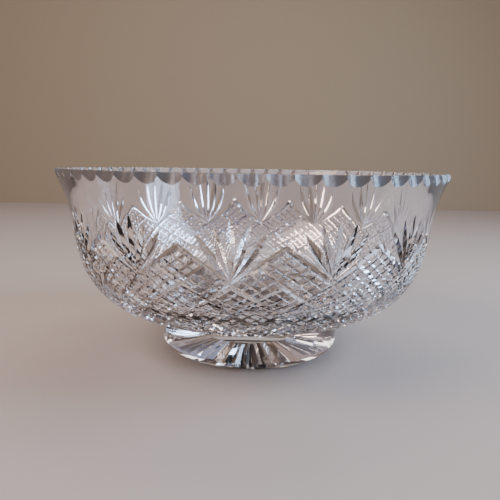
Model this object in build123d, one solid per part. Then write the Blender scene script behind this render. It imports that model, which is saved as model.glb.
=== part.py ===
from build123d import *

import math
import os

# A cut crystal punch bowl on a solid glass foot. Millimetres, +Z up.
# The origin is on the bowl's axis, in the plane that the foot stands on.

# Foot: a thick disc, bevelled under and star cut on its base
foot_radius = 66.5
foot_height = 27.0
foot_under_round = 9.0
foot_under_bevels = 5
foot_top_chamfer = 1.5

# Star cut on the underside of the foot, around a hollow with a flat top
star_rays = 40
star_radius = 48.0
star_valley_radius = 40.0
star_depth = 11.0
star_hollow_radius = 19.0

# Clear bond between the foot's ground top and the bowl's ground base
bond_thickness = 0.2
bond_radius = 61.0

# Bowl: heights are above the bowl's ground base
base_radius = 62.0
bowl_height = 105.1
belly_radius = 128.0
belly_height = 60.8
rim_flare = 12.0
throat_flare = 3.4
throat_drop = 23.0
haunch_inset = 12.0
haunch_height = 26.3
turn_inset = 34.6
turn_height = 7.6
base_rise = 2.2
base_run = 12.0

# Wall thickness, square to the outer face and level at the rim
wall_at_rim = 5.0
wall_at_base = 12.5
lip_round = 1.2

# Scallops ground into the outer corner of the rim
scallop_count = 63
scallop_wheel_radius = 9.8
scallop_drop = 3.8
scallop_inset = 3.4
scallop_lip_land = 0.6
scallop_wheel_length = 24.0


def foot():
    half = foot_radius - foot_under_round
    bevels = []
    for i in range(foot_under_bevels + 1):
        turn = math.pi / 2 * i / foot_under_bevels
        across = half + foot_under_round * math.sin(turn)
        bevels.append((across, foot_under_round * (1 - math.cos(turn))))
    outline = Polyline(
        (0, 0),
        *bevels,
        (foot_radius, foot_height - foot_top_chamfer),
        (foot_radius - foot_top_chamfer, foot_height),
        (0, foot_height),
        close=True,
    )
    disc = revolve(Plane.XZ * make_face(outline), Axis.Z)
    return disc - star()


def star():
    # Every V cut climbs from its ray's end to the hollow in the middle
    ends, hollow = [], []
    for i in range(star_rays * 2):
        angle = math.pi / star_rays * (i + 0.5)
        radius = star_radius if i % 2 else star_valley_radius
        ends.append((radius * math.cos(angle), radius * math.sin(angle)))
        hollow.append((star_hollow_radius * math.cos(angle), star_hollow_radius * math.sin(angle)))
    outline = make_face(Polyline(*ends, close=True))
    flat_top = Pos(0, 0, star_depth) * make_face(Polyline(*hollow, close=True))
    return loft([outline, flat_top], ruled=True)


def bond():
    film = Cylinder(bond_radius, bond_thickness, align=(Align.CENTER, Align.CENTER, Align.MIN))
    return Pos(0, 0, foot_height) * film


def outer_wall(seat):
    points = [
        (base_radius, seat),
        (base_radius + base_run, seat + base_rise),
        (belly_radius - turn_inset, seat + turn_height),
        (belly_radius - haunch_inset, seat + haunch_height),
        (belly_radius, seat + belly_height),
        (belly_radius + throat_flare, seat + bowl_height - throat_drop),
        (belly_radius + rim_flare, seat + bowl_height),
    ]
    return Spline(*points)


def inner_wall(outer):
    # Thicker towards the base, measured square to the outer wall
    steps = 12
    points = []
    for i in range(steps + 1):
        t = i / steps
        wall = wall_at_base + (wall_at_rim - wall_at_base) * t
        along = outer % t
        square = Vector(-along.Y, along.X)
        points.append(outer @ t + square * wall)
    rim = outer @ 1
    points[-1] = Vector(rim.X - wall_at_rim, rim.Y)
    return Spline(*points)


def bowl():
    seat = foot_height + bond_thickness
    top = seat + bowl_height
    outer = outer_wall(seat)
    inner = inner_wall(outer)
    lip = Line(outer @ 1, inner @ 1)
    floor_edge = inner @ 0
    floor = Spline(
        Vector(0, floor_edge.Y),
        floor_edge,
        tangents=[(1, 0), inner % 0],
    )
    axis_line = Line((0, seat), (0, floor_edge.Y))
    base_line = Line((0, seat), (base_radius, seat))
    section = make_face([base_line, outer, lip, inner, floor, axis_line])
    rim_corners = section.vertices().sort_by(Axis.Y)[-2:]
    section = fillet(rim_corners.sort_by(Axis.X)[0], lip_round)
    blank = revolve(Plane.XZ * section, Axis.Z)
    return blank - scallops(top)


def scallops(top):
    # The wheel stands against the flared rim and leaves a narrow land on the lip
    rim_radius = belly_radius + rim_flare
    width = wall_at_rim - scallop_inset - scallop_lip_land
    lean = math.degrees(math.atan2(scallop_drop, width))
    wheel = Rot(0, 90, 0) * Cylinder(scallop_wheel_radius, scallop_wheel_length)
    wheel = Pos(0, 0, scallop_wheel_radius) * wheel
    wheel = Pos(rim_radius - scallop_inset, 0, top - scallop_drop) * Rot(0, lean, 0) * wheel
    return [Rot(0, 0, 360 / scallop_count * i - 90) * wheel for i in range(scallop_count)]


parts = {
    "bowl": bowl(),
    "foot": foot(),
    "bond_film": bond(),
}

os.makedirs("parts", exist_ok=True)
for name, shape in parts.items():
    shape.label = name
    export_step(shape, f"parts/{name}.step")
    print(name, round(shape.volume), shape.bounding_box())
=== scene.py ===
import bmesh
import bpy
import math
import numpy as np
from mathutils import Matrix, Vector
from mathutils.geometry import delaunay_2d_cdt


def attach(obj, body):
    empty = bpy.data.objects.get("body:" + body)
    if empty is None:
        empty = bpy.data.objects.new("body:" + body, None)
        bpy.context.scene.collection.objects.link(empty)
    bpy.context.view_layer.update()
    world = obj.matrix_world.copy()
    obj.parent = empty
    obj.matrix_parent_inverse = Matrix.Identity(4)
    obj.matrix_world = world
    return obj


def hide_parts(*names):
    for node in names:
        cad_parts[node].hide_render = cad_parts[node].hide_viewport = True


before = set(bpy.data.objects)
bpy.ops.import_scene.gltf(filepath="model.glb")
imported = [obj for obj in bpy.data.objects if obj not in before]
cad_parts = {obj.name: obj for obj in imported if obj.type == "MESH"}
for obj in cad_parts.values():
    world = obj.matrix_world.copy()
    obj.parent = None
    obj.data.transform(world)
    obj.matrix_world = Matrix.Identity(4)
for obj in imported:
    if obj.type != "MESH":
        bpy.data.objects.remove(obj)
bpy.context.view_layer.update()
mm = 0.001
print("frame loaded")


def smoothLine(points, count=900):
    # natural cubic through the points, returned as a dense line with its length and tangent
    pts = np.array(points, float)
    knots = np.append(0, np.cumsum(np.hypot(*np.diff(pts, axis=0).T)))
    gap = np.diff(knots)
    n = len(pts)
    grid = np.eye(n)
    side = np.zeros((n, 2))
    for i in range(1, n - 1):
        grid[i, i - 1:i + 2] = gap[i - 1], 2 * (gap[i - 1] + gap[i]), gap[i]
        side[i] = 6 * ((pts[i + 1] - pts[i]) / gap[i] - (pts[i] - pts[i - 1]) / gap[i - 1])
    bend = np.linalg.solve(grid, side)
    t = np.linspace(0, knots[-1], count)
    k = np.clip(np.searchsorted(knots, t, side="right") - 1, 0, n - 2)
    h = gap[k][:, None]
    a = ((knots[k + 1] - t) / gap[k])[:, None]
    b = 1 - a
    curl = (a ** 3 - a) * bend[k] + (b ** 3 - b) * bend[k + 1]
    line = a * pts[k] + b * pts[k + 1] + curl * h * h / 6
    run = np.append(0, np.cumsum(np.hypot(*np.diff(line, axis=0).T)))
    way = np.gradient(line, run, axis=0)
    return {"run": run, "line": line, "way": way, "length": run[-1]}


def along(curve, s):
    r = np.interp(s, curve["run"], curve["line"][:, 0])
    z = np.interp(s, curve["run"], curve["line"][:, 1])
    tr = np.interp(s, curve["run"], curve["way"][:, 0])
    tz = np.interp(s, curve["run"], curve["way"][:, 1])
    size = np.hypot(tr, tz)
    return r, z, tr / size, tz / size


def spot(r, z, angle):
    # angle 0 faces the front, growing to the right
    return Vector((r * math.sin(angle), -r * math.cos(angle), z)) * mm


# sizes are in millimetres; the wall is its outer line, from the ground base up to the rim
bowl = {
    "wall": [
        (62, 27.2), (74, 29.4), (93.4, 34.8), (116, 53.5),
        (128, 88), (131.4, 109.3), (140, 132.3),
    ],
    "wallAtBase": 12.5,
    "wallAtRim": 5.0,
    "lipRound": 0.6,
    "fans": 14,
    "scallops": 63,
    "columns": 12,        # mesh columns in one scallop
    "turn": -38,          # where the first pair of fans starts, in columns from the front
    "rimBand": 8.5,       # wall above the cut pattern, shaped by the rim's own rows
    "baseColumns": 36,    # mesh columns round the base, under one pair of fans
    "innerRows": 32,
    "fineRows": 4,        # inner rows that still match every column of the rim
    "floorShares": (0.85, 0.7, 0.55, 0.4, 0.25, 0.1),
    "hubShare": 0.3,      # inside this share of the floor the mesh is coarser
    "padInset": 0.6,      # the base dips a little into the bond
    "padDip": 0.2,
    "weld": 4e-6,         # metres
}
scallop = {
    "wheel": 9.8,
    "drop": 3.8,
    "inset": 3.4,
    "land": 0.6,
    "pitchIn": 0.5,       # the pitch is taken this far inside the deepest line
    "leastLand": 0.02,
    "rows": (3, 4),       # rim rows that are scallop
}
cut = {
    "unroll": 126.0,      # radius at which the pattern is laid flat
    "shift": 1.1,         # fans against the scallops
    "apexHeight": 73.0,   # height of the fans' roots
    "row": 10.5,          # half a big diamond
    "mainWidth": 1.9,     # half widths of the mitres
    "fineWidth": 0.85,
    "steep": 0.90,        # depth over half width
    "smallPerBig": 3,     # small diamonds along the side of a big one
    "span": (-15, 7),     # small diamonds tried either way from a root
    "bottomRows": 6,
    "runOut": 3.0,
    "spare": 2,           # room kept beyond a run out
    "crossArm": 12,
}
leaf = {
    "rays": 5,            # between the two arms of the zigzag
    "steep": 0.75,
    "length": 35.0,
    "shorter": 0.08,      # share that the outermost leaves lose
    "touch": 0.29,        # how far up the leaves touch each other
    "swell": [
        (0.29, 1.0), (0.40, 1.27), (0.52, 1.44), (0.64, 1.44),
        (0.76, 1.22), (0.87, 0.82), (0.95, 0.40),
    ],
}
fill = {
    "columns": 30,        # points across one pair of fans
    "row": 3.4,
    "upperRow": 3.6,
    "aboveRoots": 8,
    "margin": 1.5,        # kept clear of the cuts and of the rim's band
    "nearest": 1.1,
    "cell": 2,
}
pointsPerMm = 2000        # points nearer than this are one point
tiny = 1e-9
smallestFlank = 1e-5
seamWidth = 1e-3
slack = 1e-6
mergeGap = 1e-5
shadeAngle = 9            # degrees; steeper edges stay sharp

outer = smoothLine(bowl["wall"])
top = bowl["wall"][-1][1]
rimRadius = bowl["wall"][-1][0]


def innerLine():
    steps = 12
    points = []
    for i in range(steps + 1):
        s = outer["length"] * i / steps
        r, z, tr, tz = along(outer, s)
        w = bowl["wallAtBase"] + (bowl["wallAtRim"] - bowl["wallAtBase"]) * i / steps
        points.append((r - tz * w, z + tr * w))
    points[-1] = (rimRadius - bowl["wallAtRim"], top)
    return smoothLine(points)


inner = innerLine()
fanWidth = 2 * math.pi / bowl["fans"] * cut["unroll"]
sectorWidth = 2 * fanWidth
sectorColumns = bowl["columns"] * bowl["scallops"] * 2 // bowl["fans"]
ringColumns = sectorColumns * bowl["fans"] // 2
baseRing = bowl["baseColumns"] * bowl["fans"] // 2
columnAngle = 2 * math.pi / ringColumns
apexS = float(np.interp(cut["apexHeight"], outer["line"][:, 1], outer["run"]))
bandS = outer["length"] - bowl["rimBand"]
slope = 4 * cut["row"] / fanWidth
lean = math.atan(slope)
step = 2 * cut["row"] / cut["smallPerBig"]
mainDepth = cut["mainWidth"] * cut["steep"]
fineDepth = cut["fineWidth"] * cut["steep"]

flatPoints = {}
flatEdges = set()
flankShapes = []


def key(x, y):
    return (round(x * pointsPerMm), round(y * pointsPerMm))


def addPoint(x, y, depth):
    k = key(x, y)
    if k not in flatPoints:
        flatPoints[k] = (x, y, depth)
    return k


def addEdge(a, b):
    if a != b:
        flatEdges.add((min(a, b), max(a, b)))


def clip(shape, a, b, c):
    # keeps the side where a*x + b*y + c is positive
    kept = []
    for i, p in enumerate(shape):
        q = shape[(i + 1) % len(shape)]
        fp = a * p[0] + b * p[1] + c
        fq = a * q[0] + b * q[1] + c
        if fp >= -tiny:
            kept.append(p)
        if (fp > tiny and fq < -tiny) or (fp < -tiny and fq > tiny):
            t = fp / (fp - fq)
            kept.append((p[0] + (q[0] - p[0]) * t, p[1] + (q[1] - p[1]) * t))
    return kept


def area(shape):
    pairs = zip(shape, shape[1:] + shape[:1])
    return abs(sum(p[0] * q[1] - q[0] * p[1] for p, q in pairs)) / 2


def addFlanks(shape, mitres):
    # each mitre is a flat flank, its depth a*x + b*y + c, and the deepest one wins
    shape = clip(shape, 1, 0, 0)
    shape = clip(shape, -1, 0, sectorWidth) if shape else shape
    if len(shape) < 3:
        return
    for i, (a, b, c) in enumerate(mitres):
        face = clip(shape, a, b, c)
        for j, (a2, b2, c2) in enumerate(mitres):
            if j != i and len(face) > 2:
                face = clip(face, a - a2, b - b2, c - c2)
        if len(face) < 3 or area(face) < smallestFlank:
            continue
        keys = [addPoint(x, y, max(0.0, a * x + b * y + c)) for x, y in face]
        for p, q in zip(keys, keys[1:] + keys[:1]):
            addEdge(p, q)
        flankShapes.append(face)


def mitre(px, py, dx, dy, ux, uy, depth, taper=0.0):
    # a cut through p along d, sloping up towards u; taper is the depth lost per millimetre along d
    a = -cut["steep"] * ux - taper * dx
    b = -cut["steep"] * uy - taper * dy
    return a, b, depth - a * px - b * py


def node(x0, i, j):
    return x0 + (j - i) * step / (2 * slope), apexS + (i + j) * step / 2


def lattice(x0):
    # small diamonds of one fan, from the zigzag under the fans down to the lower zigzag
    c, s = math.cos(lean), math.sin(lean)
    for i in range(*cut["span"]):
        for j in range(*cut["span"]):
            cx, cy = node(x0, i + 0.5, j + 0.5)
            off = abs(cx - x0)
            if off > fanWidth / 2 + slack:
                continue
            if cy > apexS + slope * off:
                continue
            tooth = abs((cx - x0 + fanWidth / 4) % (fanWidth / 2) - fanWidth / 4)
            if cy < apexS - cut["bottomRows"] * cut["row"] + slope * tooth:
                continue
            corners = ((i, j), (i, j + 1), (i + 1, j + 1), (i + 1, j))
            shape = [node(x0, a, b) for a, b in corners]
            big = cut["smallPerBig"]
            depths = [mainDepth if k % big == 0 else fineDepth for k in (i, i + 1, j, j + 1)]
            low, high = shape[0], shape[2]
            mitres = [
                mitre(*low, c, s, -s, c, depths[0]),
                mitre(*high, c, s, s, -c, depths[1]),
                mitre(*low, -c, s, s, c, depths[2]),
                mitre(*high, -c, s, -s, -c, depths[3]),
            ]
            addFlanks(shape, mitres)
            if 0 < cx < sectorWidth:
                addPoint(cx, cy, 0.0)


def corner(px, py, up, side):
    # the open side of a V made by two main mitres
    c, s = math.cos(lean), math.sin(lean) * up
    wide, high = side * c, side * s
    shape = [(px, py), (px + wide, py + high), (px, py + 2 * high), (px - wide, py + high)]
    addFlanks(shape, [
        mitre(px, py, c, s, -s * up, c * up, mainDepth),
        mitre(px, py, -c, s, s * up, c * up, mainDepth),
    ])


def crossing(px, py, up, side):
    # two main mitres cross and run out beyond the lattice
    c, s = math.cos(lean), math.sin(lean) * up
    n = cut["runOut"] + cut["spare"]
    loss = mainDepth / cut["runOut"]
    ends = [(px + n * c, py + n * s), (px, py + 2 * n * s), (px - n * c, py + n * s)]
    addFlanks([(px, py)] + ends, [
        mitre(px, py, c, s, -s * up, c * up, mainDepth, loss),
        mitre(px, py, -c, s, s * up, c * up, mainDepth, loss),
    ])
    for m in (1, -1):
        out = (px + m * n * c, py + n * s)
        arm = (px + m * side * c, py - side * s)
        far = (out[0] + arm[0] - px, out[1] + arm[1] - py)
        addFlanks([(px, py), out, far, arm], [
            mitre(px, py, m * c, s, m * s * up, -c * up, mainDepth, loss),
            mitre(px, py, m * c, -s, m * s * up, c * up, mainDepth),
        ])


def fan(x0):
    # leaf cuts that touch at the root and run out to points
    rootY = apexS + cut["mainWidth"] / math.cos(lean)
    spread = math.pi / 2 - lean
    half = spread / (leaf["rays"] + 1)
    root = addPoint(x0, rootY, 0.0)
    middle = leaf["rays"] // 2
    for i in range(leaf["rays"]):
        angle = (i - middle) * 2 * half
        length = leaf["length"] * (1 - leaf["shorter"] * abs(i - middle) / middle)
        wide = leaf["touch"] * length * math.tan(half)
        dx, dy = math.sin(angle), math.cos(angle)
        sides = []
        for share, width in leaf["swell"]:
            t = share * length
            w = wide * width
            mid = addPoint(x0 + dx * t, rootY + dy * t, w * leaf["steep"])
            left = addPoint(x0 + dx * t - dy * w, rootY + dy * t + dx * w, 0.0)
            right = addPoint(x0 + dx * t + dy * w, rootY + dy * t - dx * w, 0.0)
            sides.append((left, mid, right))
        tip = addPoint(x0 + dx * length, rootY + dy * length, 0.0)
        last = (root, root, root)
        for now in sides + [(tip, tip, tip)]:
            for a, b in zip(last, now):
                addEdge(a, b)
            addEdge(now[0], now[1])
            addEdge(now[1], now[2])
            last = now
        shape = [root] + [a[0] for a in sides] + [tip] + [a[2] for a in reversed(sides)]
        flankShapes.append([flatPoints[k][:2] for k in shape])


def inside(x, y, shape):
    hit = False
    for (ax, ay), (bx, by) in zip(shape, shape[1:] + shape[:1]):
        if (ay > y) != (by > y) and x < ax + (bx - ax) * (y - ay) / (by - ay):
            hit = not hit
    return hit


def flatSector():
    armLength = fanWidth / 2 / math.cos(lean)
    for i in range(-1, 3):
        x0 = (i + 0.5) * fanWidth + cut["shift"]
        lattice(x0)
        corner(x0, apexS, 1, armLength - cut["crossArm"])
        crossing(x0 + fanWidth / 2, apexS + 2 * cut["row"], 1, cut["crossArm"])
    low = apexS - cut["bottomRows"] * cut["row"]
    for i in range(-1, 6):
        x = i * fanWidth / 2 + cut["shift"]
        crossing(x, low, -1, armLength / 4)
        corner(x + fanWidth / 4, low + cut["row"], -1, armLength / 4)
    fan(fanWidth / 2 + cut["shift"])
    fan(3 * fanWidth / 2 + cut["shift"])


def crowded(x, y, cells):
    # true when a planned point already lies close by
    cx, cy = int(x // fill["cell"]), int(y // fill["cell"])
    for i in (-1, 0, 1):
        for j in (-1, 0, 1):
            for px, py in cells.get((cx + i, cy + j), ()):
                if math.hypot(px - x, py - y) < fill["nearest"]:
                    return True
    return False


def inPattern(x, y):
    u = x - cut["shift"]
    off = fanWidth / 2 - abs((u + fanWidth / 2) % fanWidth - fanWidth / 2)
    tooth = abs((u + fanWidth / 4) % (fanWidth / 2) - fanWidth / 4)
    lower = apexS - cut["bottomRows"] * cut["row"] + slope * tooth - fill["margin"]
    upper = apexS + slope * off + fill["margin"]
    return lower < y < upper


def fillPoints():
    # points that let the plain glass follow the wall's curve
    gap = sectorWidth / fill["columns"]
    rows = list(np.arange(fill["row"], apexS - 4 * cut["row"], fill["row"]))
    rows += list(np.arange(apexS + fill["aboveRoots"], bandS - fill["margin"], fill["upperRow"]))
    boxes = []
    for f in flankShapes:
        xs, ys = [p[0] for p in f], [p[1] for p in f]
        boxes.append((min(xs), max(xs), min(ys), max(ys), f))
    cells = {}
    for p in flatPoints.values():
        cell = (int(p[0] // fill["cell"]), int(p[1] // fill["cell"]))
        cells.setdefault(cell, []).append(p[:2])
    for n, y in enumerate(rows):
        shift = 0.5 if n % 2 else 0.0
        for i in range(fill["columns"] + 1):
            x = (i + shift) * gap
            if x > sectorWidth + slack or inPattern(x, y):
                continue
            if any(b[0] <= x <= b[1] and b[2] <= y <= b[3] and inside(x, y, b[4]) for b in boxes):
                continue
            if not crowded(x, y, cells):
                addPoint(x, y, 0.0)
                if i == 0 and shift == 0:
                    addPoint(sectorWidth, y, 0.0)


def triangulated():
    edge = [addPoint(0, 0, 0)]
    for i in range(1, bowl["baseColumns"] + 1):
        edge.append(addPoint(sectorWidth * i / bowl["baseColumns"], 0, 0))
    upper = []
    for i in range(sectorColumns, -1, -1):
        upper.append(addPoint(sectorWidth * i / sectorColumns, bandS, 0))
    for line in (edge, upper):
        for a, b in zip(line, line[1:]):
            addEdge(a, b)
    for x in (0.0, sectorWidth):
        column = sorted((p[1], k) for k, p in flatPoints.items() if abs(p[0] - x) < seamWidth)
        for a, b in zip(column, column[1:]):
            addEdge(a[1], b[1])
    names = list(flatPoints)
    index = {k: i for i, k in enumerate(names)}
    verts = [Vector(flatPoints[k][:2]) for k in names]
    edges = [(index[a], index[b]) for a, b in flatEdges]
    found = delaunay_2d_cdt(verts, edges, [], 0, mergeGap)
    depths = []
    extra = 0
    for i, olds in enumerate(found[3]):
        if olds:
            depths.append(max(flatPoints[names[o]][2] for o in olds))
        else:
            extra += 1
            depths.append(0.0)
    print("pattern:", len(found[0]), "points,", len(found[2]), "faces,", extra, "unplanned")
    return found[0], found[2], depths


def rimRows():
    # the lip is ground away in scallops, each one a half moon on the outer wall
    reach = bowl["wallAtRim"] - scallop["inset"] - scallop["land"]
    size = math.hypot(reach, scallop["drop"])
    dr, dz = -reach / size, scallop["drop"] / size
    nr, nz = dz, -dr
    r0, z0 = rimRadius - scallop["inset"], top - scallop["drop"]
    high = outer["run"] > bandS
    runs = outer["run"][high]
    reachOut = (outer["line"][high, 0] - r0) * nr + (outer["line"][high, 1] - z0) * nz
    band = along(outer, bandS)[:2]
    lip = bowl["lipRound"]
    lipIn = rimRadius - bowl["wallAtRim"]
    start = lipIn + lip
    # the inner corner of the lip is rounded
    rounding = [
        (start, top),
        (lipIn + lip * 0.3, top - lip * 0.08),
        (lipIn + lip * 0.08, top - lip * 0.35),
        along(inner, inner["length"] - lip)[:2],
    ]
    rows = [[] for i in range(5 + len(rounding))]
    for c in range(ringColumns):
        offset = ((c + bowl["columns"] // 2) % bowl["columns"]) - bowl["columns"] // 2
        x = offset * columnAngle * (r0 - scallop["pitchIn"])
        sag = scallop["wheel"] - math.sqrt(scallop["wheel"] ** 2 - x * x)
        s = float(np.interp(sag, reachOut, runs))
        r1, z1 = along(outer, s)[:2]
        t = (top - z0 - nz * sag) / dz
        r2, z2 = r0 + nr * sag + dr * t, top
        half = along(outer, (bandS + s) / 2)[:2]
        r2 = max(r2, start + scallop["leastLand"])
        line = [band, half, (r1, z1), ((r1 + r2) / 2, (z1 + z2) / 2), (r2, z2)]
        for row, (r, z) in zip(rows, line + rounding):
            row.append((r, z))
    return rows


def buildBowl():
    flatSector()
    fillPoints()
    points, faces, depths = triangulated()
    bm = bmesh.new()
    satin = bm.faces.layers.float.new("satin")
    start = bowl["turn"] * columnAngle
    for k in range(bowl["fans"] // 2):
        made = []
        for p, d in zip(points, depths):
            r, z, tr, tz = along(outer, p.y)
            angle = start + (p.x + sectorWidth * k) / cut["unroll"]
            made.append(bm.verts.new(spot(r - tz * d, z + tr * d, angle)))
        for f in faces:
            bm.faces.new([made[i] for i in f])

    def ring(r, z, count):
        return [bm.verts.new(spot(r, z, 2 * math.pi * i / count)) for i in range(count)]

    def bridge(a, b):
        # b may have a whole number of times fewer points
        m = len(a) // len(b)
        made = []
        for i in range(len(b)):
            shape = [a[(i * m + q) % len(a)] for q in range(m + 1)]
            made.append(bm.faces.new(shape + [b[(i + 1) % len(b)], b[i]]))
        return made

    last = None
    for n, row in enumerate(rimRows()):
        now = [bm.verts.new(spot(r, z, columnAngle * c)) for c, (r, z) in enumerate(row)]
        if last:
            for f in bridge(last, now):
                # the wheel leaves the scallops less bright than the wall
                f[satin] = 1.0 if n in scallop["rows"] else 0.0
        last = now
    # inner wall, then the floor
    for i in range(1, bowl["innerRows"] + 1):
        s = (inner["length"] - bowl["lipRound"]) * (1 - i / bowl["innerRows"])
        count = ringColumns if i < bowl["fineRows"] else ringColumns // 3
        r, z = along(inner, s)[:2]
        now = ring(r, z, count)
        bridge(last, now)
        last = now
    edgeR, edgeZ, tr, tz = along(inner, 0)
    for share in bowl["floorShares"]:
        z = edgeZ + tz / tr * edgeR * (share ** 3 - share ** 2)
        count = ringColumns // 3 if share > bowl["hubShare"] else ringColumns // 9
        now = ring(edgeR * share, z, count)
        bridge(last, now)
        last = now
    bm.faces.new(last)
    # ground base, which dips into the bond's layer
    baseR, baseZ = bowl["wall"][0]
    padR, padZ = baseR - bowl["padInset"], baseZ - bowl["padDip"]
    angles = [start + 2 * math.pi * i / baseRing for i in range(baseRing)]
    base = [bm.verts.new(spot(baseR, baseZ, angle)) for angle in angles]
    pad = [bm.verts.new(spot(padR, padZ, angle)) for angle in angles]
    bridge(base, pad)
    bm.faces.new(pad)
    bmesh.ops.remove_doubles(bm, verts=bm.verts, dist=bowl["weld"])
    return finished(bm, "cut_bowl")


def finished(bm, name):
    bmesh.ops.triangulate(bm, faces=[f for f in bm.faces if len(f.verts) > 4])
    bmesh.ops.recalc_face_normals(bm, faces=bm.faces)
    openEdges = sum(1 for e in bm.edges if len(e.link_faces) != 2)
    if bm.calc_volume(signed=True) < 0:
        bmesh.ops.reverse_faces(bm, faces=bm.faces)
    print(name, "verts", len(bm.verts), "faces", len(bm.faces), "open edges", openEdges,
          "cm3", round(bm.calc_volume() * 1e6))
    mesh = bpy.data.meshes.new(name)
    bm.to_mesh(mesh)
    bm.free()
    piece = bpy.data.objects.new(name, mesh)
    bpy.context.scene.collection.objects.link(piece)
    bpy.ops.object.select_all(action="DESELECT")
    piece.select_set(True)
    bpy.context.view_layer.objects.active = piece
    bpy.ops.object.shade_smooth_by_angle(angle=math.radians(shadeAngle))
    return piece


bowlPiece = buildBowl()
print("bowl made")

foot = {
    "radius": 66.5,
    "height": 27.0,
    "underRound": 9.0,
    "underBevels": 5,
    "topChamfer": 1.5,
    "rays": 40,
    "starRadius": 48.0,
    "starValley": 40.0,
    "starDepth": 11.0,
    "hollowRadius": 19.0,
    "columns": 200,
    "turn": -2.25,        # degrees that the star is turned from the front
    "seatRadius": 61.4,   # the top rises a little into the bond
    "padRadius": 60.8,
    "padRise": 0.2,
}


def buildFoot():
    bm = bmesh.new()
    n = foot["columns"]
    half = foot["radius"] - foot["underRound"]
    start = math.radians(foot["turn"])

    def ring(r, z, count=n):
        return [bm.verts.new(spot(r, z, start + 2 * math.pi * i / count)) for i in range(count)]

    def bridge(a, b):
        for i in range(n):
            bm.faces.new([a[i], a[(i + 1) % n], b[(i + 1) % n], b[i]])

    land = ring(half, 0)
    last = land
    for i in range(1, foot["underBevels"] + 1):
        a = math.pi / 2 * i / foot["underBevels"]
        out, up = foot["underRound"] * math.sin(a), foot["underRound"] * (1 - math.cos(a))
        now = ring(half + out, up)
        bridge(last, now)
        last = now
    shoulder = foot["height"] - foot["topChamfer"]
    for r, z in (
        (foot["radius"], shoulder),
        (foot["radius"] - foot["topChamfer"], foot["height"]),
        (foot["seatRadius"], foot["height"]),
        (foot["padRadius"], foot["height"] + foot["padRise"]),
    ):
        now = ring(r, z)
        bridge(last, now)
        last = now
    bm.faces.new(last)
    # star of V cuts on the underside
    per = n // foot["rays"]
    tips = ring(foot["starRadius"], 0, foot["rays"])
    dips = ring(foot["starValley"], 0, foot["rays"] * 2)[1::2]
    hollow = ring(foot["hollowRadius"], foot["starDepth"], foot["rays"] * 2)
    bm.faces.new(hollow)
    for i in range(foot["rays"]):
        j = (i + 1) % foot["rays"]
        bm.faces.new([hollow[2 * i], tips[i], dips[i], hollow[2 * i + 1]])
        bm.faces.new([hollow[2 * i + 1], dips[i], tips[j], hollow[2 * j]])
        arc = [land[(i * per + q) % n] for q in range(per + 1)]
        bm.faces.new([tips[i]] + arc + [tips[j], dips[i]])
    return finished(bm, "star_foot")


footPiece = buildFoot()
print("foot made")

bond = {"radius": 60.5, "low": 27.06, "high": 27.14, "edge": 0.3, "columns": 128}


def buildBond():
    bm = bmesh.new()
    n = bond["columns"]
    narrow = bond["radius"] - bond["edge"]
    middle = (bond["low"] + bond["high"]) / 2
    rings = []
    for r, z in ((narrow, bond["low"]), (bond["radius"], middle), (narrow, bond["high"])):
        rings.append([bm.verts.new(spot(r, z, 2 * math.pi * i / n)) for i in range(n)])
    for a, b in zip(rings, rings[1:]):
        for i in range(n):
            j = (i + 1) % n
            bm.faces.new([a[i], a[j], b[j], b[i]])
    bm.faces.new(rings[0])
    bm.faces.new(rings[-1])
    return finished(bm, "bond_layer")


bondPiece = buildBond()
print("bond made")

crystalLook = {
    "driftScale": 14.0,   # the tint's slow change through the glass
    "driftEdges": (0.35, 0.65),
    "hazeScale": 55.0,
    "hazeDetail": 4.0,
    "hazeEdges": (0.5, 0.8),
    "hazeRough": 0.05,
    "swellScale": 24.0,
    "swellHeight": 0.001,
    "satinRough": 0.2,
    "satinClear": 0.87,
}


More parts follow.
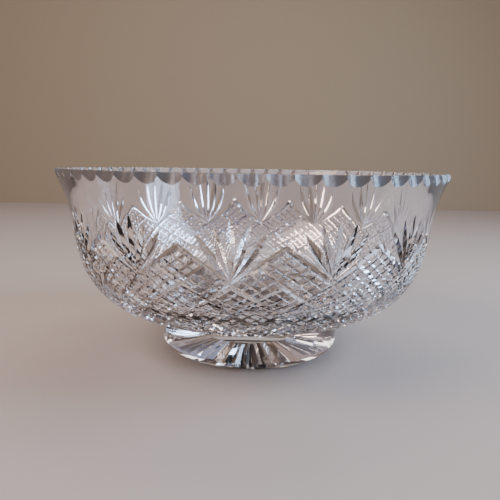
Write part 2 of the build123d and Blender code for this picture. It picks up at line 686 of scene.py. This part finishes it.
def crystal(name, look):
    mat = bpy.data.materials.new(name)
    mat.use_nodes = True
    nodes, links = mat.node_tree.nodes, mat.node_tree.links
    shader = nodes["Principled BSDF"]
    shader.inputs["IOR"].default_value = look["ior"]
    coords = nodes.new("ShaderNodeTexCoord")
    # the metal's faint tint drifts a little through the piece
    drift = nodes.new("ShaderNodeTexNoise")
    drift.inputs["Scale"].default_value = crystalLook["driftScale"]
    tint = nodes.new("ShaderNodeValToRGB")
    tint.color_ramp.elements[0].position = crystalLook["driftEdges"][0]
    tint.color_ramp.elements[0].color = look["clear"]
    tint.color_ramp.elements[1].position = crystalLook["driftEdges"][1]
    tint.color_ramp.elements[1].color = look["faint"]
    # a light haze of handling on the polish
    haze = nodes.new("ShaderNodeTexNoise")
    haze.inputs["Scale"].default_value = crystalLook["hazeScale"]
    haze.inputs["Detail"].default_value = crystalLook["hazeDetail"]
    polish = nodes.new("ShaderNodeMapRange")
    polish.inputs["From Min"].default_value = crystalLook["hazeEdges"][0]
    polish.inputs["From Max"].default_value = crystalLook["hazeEdges"][1]
    polish.inputs["To Max"].default_value = crystalLook["hazeRough"]
    # hand polishing leaves the faces very slightly uneven
    swell = nodes.new("ShaderNodeTexNoise")
    swell.inputs["Scale"].default_value = crystalLook["swellScale"]
    bump = nodes.new("ShaderNodeBump")
    bump.inputs["Strength"].default_value = look["wave"]
    bump.inputs["Distance"].default_value = crystalLook["swellHeight"]
    for texture in (drift, haze, swell):
        links.new(coords.outputs["Object"], texture.inputs["Vector"])
    links.new(drift.outputs["Fac"], tint.inputs["Fac"])
    links.new(tint.outputs["Color"], shader.inputs["Base Color"])
    links.new(haze.outputs["Fac"], polish.inputs["Value"])
    ground = nodes.new("ShaderNodeAttribute")
    ground.attribute_name = "satin"
    rough = nodes.new("ShaderNodeMath")
    rough.operation = "MULTIPLY_ADD"
    rough.inputs[1].default_value = crystalLook["satinRough"]
    links.new(ground.outputs["Fac"], rough.inputs[0])
    links.new(polish.outputs["Result"], rough.inputs[2])
    links.new(rough.outputs["Value"], shader.inputs["Roughness"])
    # ground glass scatters some light before it gets in
    clearness = nodes.new("ShaderNodeMapRange")
    clearness.inputs["To Min"].default_value = 1.0
    clearness.inputs["To Max"].default_value = crystalLook["satinClear"]
    links.new(ground.outputs["Fac"], clearness.inputs["Value"])
    links.new(clearness.outputs["Result"], shader.inputs["Transmission Weight"])
    links.new(swell.outputs["Fac"], bump.inputs["Height"])
    links.new(bump.outputs["Normal"], shader.inputs["Normal"])
    return mat


# the tint drifts between clear and faint; wave is how uneven the polish looks
bowlLook = {
    "clear": (0.975, 0.96, 0.965, 1),
    "faint": (0.96, 0.935, 0.95, 1),
    "ior": 1.55,
    "wave": 0.08,
}
footLook = {
    "clear": (0.985, 0.98, 0.985, 1),
    "faint": (0.975, 0.965, 0.975, 1),
    "ior": 1.55,
    "wave": 0.06,
}
bondLook = {
    "clear": (0.99, 0.99, 0.985, 1),
    "faint": (0.985, 0.98, 0.97, 1),
    "ior": 1.5,
    "wave": 0.02,
}
bowlGlass = crystal("crystal_bowl_glass", bowlLook)
footGlass = crystal("crystal_foot_glass", footLook)
bondGlass = crystal("clear_bond_resin", bondLook)

for piece, nodeName, slotName, glass in (
    (bowlPiece, "bowl", "crystal_bowl", bowlGlass),
    (footPiece, "foot", "crystal_foot", footGlass),
    (bondPiece, "bond_film", "clear_bond", bondGlass),
):
    piece.data.materials.append(glass)
    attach(piece, "root")
    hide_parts(nodeName)
print("glass set")

room = {
    "size": 6,            # metres
    "floorDrop": 0.0002,
    "backdropAway": 1.3,
    "backdropUp": 1,
    "floorColour": (0.46, 0.40, 0.35, 1),
    "floorRough": 0.45,
    "backdropColour": (0.36, 0.28, 0.18, 1),
    "backdropRough": 0.9,
    "horizon": (-0.05, 0.8),
    "dim": 0.13,          # world strength near the horizon and overhead
    "bright": 0.62,
    "sides": (0.15, 0.85),
    "warm": (0.82, 0.58, 0.50, 1),
    "cool": (0.62, 0.70, 1.0, 1),
    "aim": (0, 0, 0.07),  # what the lamps face
}


def plain(name, colour, rough):
    mat = bpy.data.materials.new(name)
    mat.use_nodes = True
    shader = mat.node_tree.nodes["Principled BSDF"]
    shader.inputs["Base Color"].default_value = colour
    shader.inputs["Roughness"].default_value = rough
    return mat


bpy.ops.mesh.primitive_plane_add(size=room["size"], location=(0, 0, -room["floorDrop"]))
floor = bpy.context.object
floor.name = "floor"
floor.data.materials.append(plain("floor_pale", room["floorColour"], room["floorRough"]))

bpy.ops.mesh.primitive_plane_add(
    size=room["size"],
    location=(0, room["backdropAway"], room["backdropUp"]),
    rotation=(math.radians(90), 0, 0),
)
back = bpy.context.object
back.name = "backdrop"
backPaint = plain("backdrop_soft", room["backdropColour"], room["backdropRough"])
back.data.materials.append(backPaint)

world = bpy.data.worlds.new("soft_room")
bpy.context.scene.world = world
world.use_nodes = True
wn, wl = world.node_tree.nodes, world.node_tree.links
direction = wn.new("ShaderNodeTexCoord")
split = wn.new("ShaderNodeSeparateXYZ")
# darker near the horizon, brighter overhead
rise = wn.new("ShaderNodeMapRange")
rise.inputs["From Min"].default_value = room["horizon"][0]
rise.inputs["From Max"].default_value = room["horizon"][1]
rise.inputs["To Min"].default_value = room["dim"]
rise.inputs["To Max"].default_value = room["bright"]
# warm on the left, cool on the right
side = wn.new("ShaderNodeValToRGB")
side.color_ramp.elements[0].position = room["sides"][0]
side.color_ramp.elements[0].color = room["warm"]
side.color_ramp.elements[1].position = room["sides"][1]
side.color_ramp.elements[1].color = room["cool"]
across = wn.new("ShaderNodeMapRange")
across.inputs["From Min"].default_value = -1.0
wl.new(direction.outputs["Generated"], split.inputs["Vector"])
wl.new(split.outputs["Z"], rise.inputs["Value"])
wl.new(split.outputs["X"], across.inputs["Value"])
wl.new(across.outputs["Result"], side.inputs["Fac"])
wl.new(side.outputs["Color"], wn["Background"].inputs["Color"])
wl.new(rise.outputs["Result"], wn["Background"].inputs["Strength"])


def softbox(name, place, size, power, colour):
    lamp = bpy.data.lights.new(name, "AREA")
    lamp.shape = "RECTANGLE"
    lamp.size, lamp.size_y = size
    lamp.energy = power
    lamp.color = colour
    obj = bpy.data.objects.new(name, lamp)
    obj.location = place
    aim = Vector(room["aim"]) - Vector(place)
    obj.rotation_euler = aim.to_track_quat("-Z", "Y").to_euler()
    bpy.context.scene.collection.objects.link(obj)


softbox("key_left", (-0.9, -0.5, 1.0), (0.8, 0.8), 15, (1.0, 0.78, 0.66))
softbox("window_right", (0.95, -0.15, 0.55), (0.6, 1.0), 20, (0.50, 0.70, 1.0))
softbox("top", (0.1, 0.5, 1.2), (1.0, 0.6), 7, (1.0, 0.93, 0.90))

print("stage set")

view = {
    "sensor": 36,
    "lens": 36.936,
    "place": (0, -0.3884, 0.1366),
    "down": 9.45,         # degrees
    "roll": 1.0,
    "aside": -0.002,      # how far the camera looks to the left
}

camera = bpy.data.cameras.new("camera")
cameraObject = bpy.data.objects.new("camera", camera)
bpy.context.scene.collection.objects.link(cameraObject)
bpy.context.scene.camera = cameraObject
camera.sensor_width = view["sensor"]
camera.lens = view["lens"]
camera.dof.use_dof = False
cameraObject.location = view["place"]
down = math.radians(view["down"])
look = Vector((view["aside"], math.cos(down), -math.sin(down)))
cameraObject.rotation_euler = look.to_track_quat("-Z", "Y").to_euler()
cameraObject.rotation_euler.rotate_axis("Z", math.radians(view["roll"]))
print("camera set")
